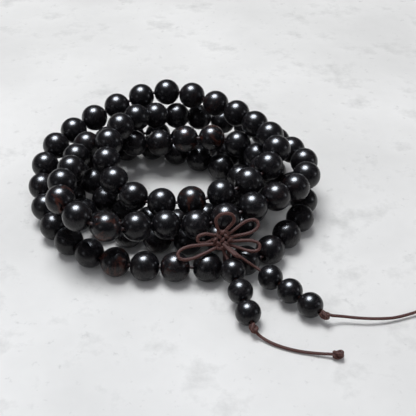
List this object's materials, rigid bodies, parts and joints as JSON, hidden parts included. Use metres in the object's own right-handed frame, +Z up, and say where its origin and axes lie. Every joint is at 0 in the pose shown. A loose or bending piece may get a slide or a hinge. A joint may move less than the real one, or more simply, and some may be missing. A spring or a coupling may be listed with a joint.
{
  "type": "mala prayer beads",
  "caption": "Long closed strand of round dark wooden prayer beads lying in loose turns, tied off in a woven flower knot with beaded tails.",
  "frame": {"origin": "on the resting surface, under the middle of the coiled strand", "axes": "+Z up from the resting surface; the flower knot and its tails lie on the -Y side; +X is to the right of a viewer who faces the knot"},
  "size_m": [0.112, 0.1046, 0.0236],
  "materials": {
    "bead_wood": "polished, near-black ebony-like wood with a satin gloss",
    "cord": "matte braided cord, dark reddish brown"
  },
  "bodies": {
    "mala": {"strand_cord": "cord", "beads_001_to_012": "bead_wood", "beads_013_to_024": "bead_wood", "beads_025_to_036": "bead_wood", "beads_037_to_048": "bead_wood", "beads_049_to_060": "bead_wood", "beads_061_to_072": "bead_wood", "beads_073_to_084": "bead_wood", "beads_085_to_096": "bead_wood", "beads_097_to_108": "bead_wood", "knot_core": "cord", "petal_top": "cord", "petal_upper_right": "cord", "petal_right": "cord", "petal_lower_right": "cord", "petal_lower_left": "cord", "petal_left": "cord", "left_tail_cord": "cord", "left_stop_knot": "cord", "left_end_knot": "cord", "right_tail_cord": "cord", "right_stop_knot": "cord", "right_end_knot": "cord"},
    "bead_002": {"bead_002": "bead_wood"},
    "bead_006": {"bead_006": "bead_wood"},
    "bead_010": {"bead_010": "bead_wood"},
    "bead_014": {"bead_014": "bead_wood"},
    "bead_018": {"bead_018": "bead_wood"},
    "bead_022": {"bead_022": "bead_wood"},
    "bead_026": {"bead_026": "bead_wood"},
    "bead_030": {"bead_030": "bead_wood"},
    "bead_034": {"bead_034": "bead_wood"},
    "bead_038": {"bead_038": "bead_wood"},
    "bead_042": {"bead_042": "bead_wood"},
    "bead_046": {"bead_046": "bead_wood"},
    "bead_050": {"bead_050": "bead_wood"},
    "bead_054": {"bead_054": "bead_wood"},
    "bead_058": {"bead_058": "bead_wood"},
    "bead_062": {"bead_062": "bead_wood"},
    "bead_066": {"bead_066": "bead_wood"},
    "bead_070": {"bead_070": "bead_wood"},
    "bead_074": {"bead_074": "bead_wood"},
    "bead_078": {"bead_078": "bead_wood"},
    "bead_082": {"bead_082": "bead_wood"},
    "bead_086": {"bead_086": "bead_wood"},
    "bead_090": {"bead_090": "bead_wood"},
    "bead_094": {"bead_094": "bead_wood"},
    "bead_098": {"bead_098": "bead_wood"},
    "bead_102": {"bead_102": "bead_wood"},
    "bead_106": {"bead_106": "bead_wood"},
    "left_tail_bead_1": {"left_tail_bead_1": "bead_wood"},
    "left_tail_bead_2": {"left_tail_bead_2": "bead_wood"},
    "left_tail_bead_3": {"left_tail_bead_3": "bead_wood"},
    "right_tail_bead_1": {"right_tail_bead_1": "bead_wood"},
    "right_tail_bead_2": {"right_tail_bead_2": "bead_wood"},
    "right_tail_bead_3": {"right_tail_bead_3": "bead_wood"}
  },
  "joints": [
    {"name": "right_tail_bead_1_slide", "type": "slide", "parent": "mala", "child": "right_tail_bead_1", "axis": [-0.7164, 0.6947, 0.0651], "range_m": [0, 0.0009]},
    {"name": "right_tail_bead_2_slide", "type": "slide", "parent": "mala", "child": "right_tail_bead_2", "axis": [-0.7164, 0.6947, 0.0651], "range_m": [0, 0.0009]},
    {"name": "right_tail_bead_3_slide", "type": "slide", "parent": "mala", "child": "right_tail_bead_3", "axis": [-0.7164, 0.6947, 0.0651], "range_m": [0, 0.0009]},
    {"name": "left_tail_bead_1_spin", "type": "hinge", "parent": "mala", "child": "left_tail_bead_1", "pos_m": [0.017, -0.0389, 0.0062], "axis": [0.2635, -0.9442, -0.1976], "continuous": true},
    {"name": "left_tail_bead_2_spin", "type": "hinge", "parent": "mala", "child": "left_tail_bead_2", "pos_m": [0.01882, -0.04541, 0.00484], "axis": [0.2635, -0.9442, -0.1976], "continuous": true},
    {"name": "left_tail_bead_3_spin", "type": "hinge", "parent": "mala", "child": "left_tail_bead_3", "pos_m": [0.02064, -0.05193, 0.00347], "axis": [0.2635, -0.9442, -0.1976], "continuous": true},
    {"name": "bead_002_spin", "type": "hinge", "parent": "mala", "child": "bead_002", "pos_m": [0.00132, -0.03517, 0.00415], "axis": [-1, 0.0093, -0.0005], "continuous": true},
    {"name": "bead_006_spin", "type": "hinge", "parent": "mala", "child": "bead_006", "pos_m": [-0.02918, -0.02409, 0.00415], "axis": [-0.7035, 0.7102, -0.0248], "continuous": true},
    {"name": "bead_010_spin", "type": "hinge", "parent": "mala", "child": "bead_010", "pos_m": [-0.03987, 0.00601, 0.00929], "axis": [0.124, 0.9484, 0.2917], "continuous": true},
    {"name": "bead_014_spin", "type": "hinge", "parent": "mala", "child": "bead_014", "pos_m": [-0.01937, 0.03006, 0.01592], "axis": [0.8905, 0.4014, 0.2142], "continuous": true},
    {"name": "bead_018_spin", "type": "hinge", "parent": "mala", "child": "bead_018", "pos_m": [0.01278, 0.02737, 0.01852], "axis": [0.8386, -0.5411, -0.0624], "continuous": true},
    {"name": "bead_022_spin", "type": "hinge", "parent": "mala", "child": "bead_022", "pos_m": [0.0306, -0.00017, 0.01949], "axis": [-0.0706, -0.9975, 0.0037], "continuous": true},
    {"name": "bead_026_spin", "type": "hinge", "parent": "mala", "child": "bead_026", "pos_m": [0.00568, -0.01827, 0.01414], "axis": [-0.9884, -0.0464, -0.1449], "continuous": true},
    {"name": "bead_030_spin", "type": "hinge", "parent": "mala", "child": "bead_030", "pos_m": [-0.01958, -0.00266, 0.01708], "axis": [-0.1756, 0.9699, 0.1687], "continuous": true},
    {"name": "bead_034_spin", "type": "hinge", "parent": "mala", "child": "bead_034", "pos_m": [-0.00666, 0.02607, 0.01487], "axis": [0.766, 0.5343, -0.3575], "continuous": true},
    {"name": "bead_038_spin", "type": "hinge", "parent": "mala", "child": "bead_038", "pos_m": [0.02308, 0.03197, 0.00679], "axis": [0.7937, -0.599, 0.1061], "continuous": true},
    {"name": "bead_042_spin", "type": "hinge", "parent": "mala", "child": "bead_042", "pos_m": [0.03953, 0.00365, 0.01227], "axis": [0.2471, -0.9653, 0.0849], "continuous": true},
    {"name": "bead_046_spin", "type": "hinge", "parent": "mala", "child": "bead_046", "pos_m": [0.02278, -0.02271, 0.01545], "axis": [-0.8352, -0.5483, -0.0423], "continuous": true},
    {"name": "bead_050_spin", "type": "hinge", "parent": "mala", "child": "bead_050", "pos_m": [-0.00922, -0.02865, 0.01314], "axis": [-0.8658, -0.4768, 0.152], "continuous": true},
    {"name": "bead_054_spin", "type": "hinge", "parent": "mala", "child": "bead_054", "pos_m": [-0.03102, -0.01432, 0.01751], "axis": [0.2187, 0.9719, -0.0867], "continuous": true},
    {"name": "bead_058_spin", "type": "hinge", "parent": "mala", "child": "bead_058", "pos_m": [-0.02124, 0.01599, 0.01213], "axis": [0.8402, 0.4189, -0.3444], "continuous": true},
    {"name": "bead_062_spin", "type": "hinge", "parent": "mala", "child": "bead_062", "pos_m": [0.01147, 0.01554, 0.01298], "axis": [0.9893, 0.1222, -0.0795], "continuous": true},
    {"name": "bead_066_spin", "type": "hinge", "parent": "mala", "child": "bead_066", "pos_m": [0.02258, -0.00743, 0.01261], "axis": [-0.7336, -0.6782, -0.0437], "continuous": true},
    {"name": "bead_070_spin", "type": "hinge", "parent": "mala", "child": "bead_070", "pos_m": [-0.00683, -0.01474, 0.00415], "axis": [-0.947, 0.3188, 0.0386], "continuous": true},
    {"name": "bead_074_spin", "type": "hinge", "parent": "mala", "child": "bead_074", "pos_m": [-0.02581, 0.01006, 0.00569], "axis": [0.0308, 0.9487, -0.3148], "continuous": true},
    {"name": "bead_078_spin", "type": "hinge", "parent": "mala", "child": "bead_078", "pos_m": [-0.00001, 0.02086, 0.00417], "axis": [0.921, -0.3894, 0.008], "continuous": true},
    {"name": "bead_082_spin", "type": "hinge", "parent": "mala", "child": "bead_082", "pos_m": [0.02375, -0.0011, 0.00417], "axis": [0.2063, -0.9785, -0.0057], "continuous": true},
    {"name": "bead_086_spin", "type": "hinge", "parent": "mala", "child": "bead_086", "pos_m": [0.00463, -0.02368, 0.00416], "axis": [-0.9996, 0.0269, -0.0009], "continuous": true},
    {"name": "bead_090_spin", "type": "hinge", "parent": "mala", "child": "bead_090", "pos_m": [-0.02681, -0.01064, 0.00415], "axis": [-0.6413, 0.7673, -0.0004], "continuous": true},
    {"name": "bead_094_spin", "type": "hinge", "parent": "mala", "child": "bead_094", "pos_m": [-0.03003, 0.02248, 0.00415], "axis": [0.568, 0.823, 0.0002], "continuous": true},
    {"name": "bead_098_spin", "type": "hinge", "parent": "mala", "child": "bead_098", "pos_m": [0.00185, 0.02902, 0.00415], "axis": [0.9125, -0.4091, -0.0002], "continuous": true},
    {"name": "bead_102_spin", "type": "hinge", "parent": "mala", "child": "bead_102", "pos_m": [0.03099, 0.00934, 0.00416], "axis": [0.7546, -0.6562, -0.0011], "continuous": true},
    {"name": "bead_106_spin", "type": "hinge", "parent": "mala", "child": "bead_106", "pos_m": [0.03281, -0.02112, 0.00415], "axis": [-0.5899, -0.8075, 0.0003], "continuous": true}
  ],
  "couplings": [
    {"joint": "right_tail_bead_2_slide", "follows": "right_tail_bead_1_slide", "ratio": 1},
    {"joint": "right_tail_bead_3_slide", "follows": "right_tail_bead_1_slide", "ratio": 1}
  ]
}
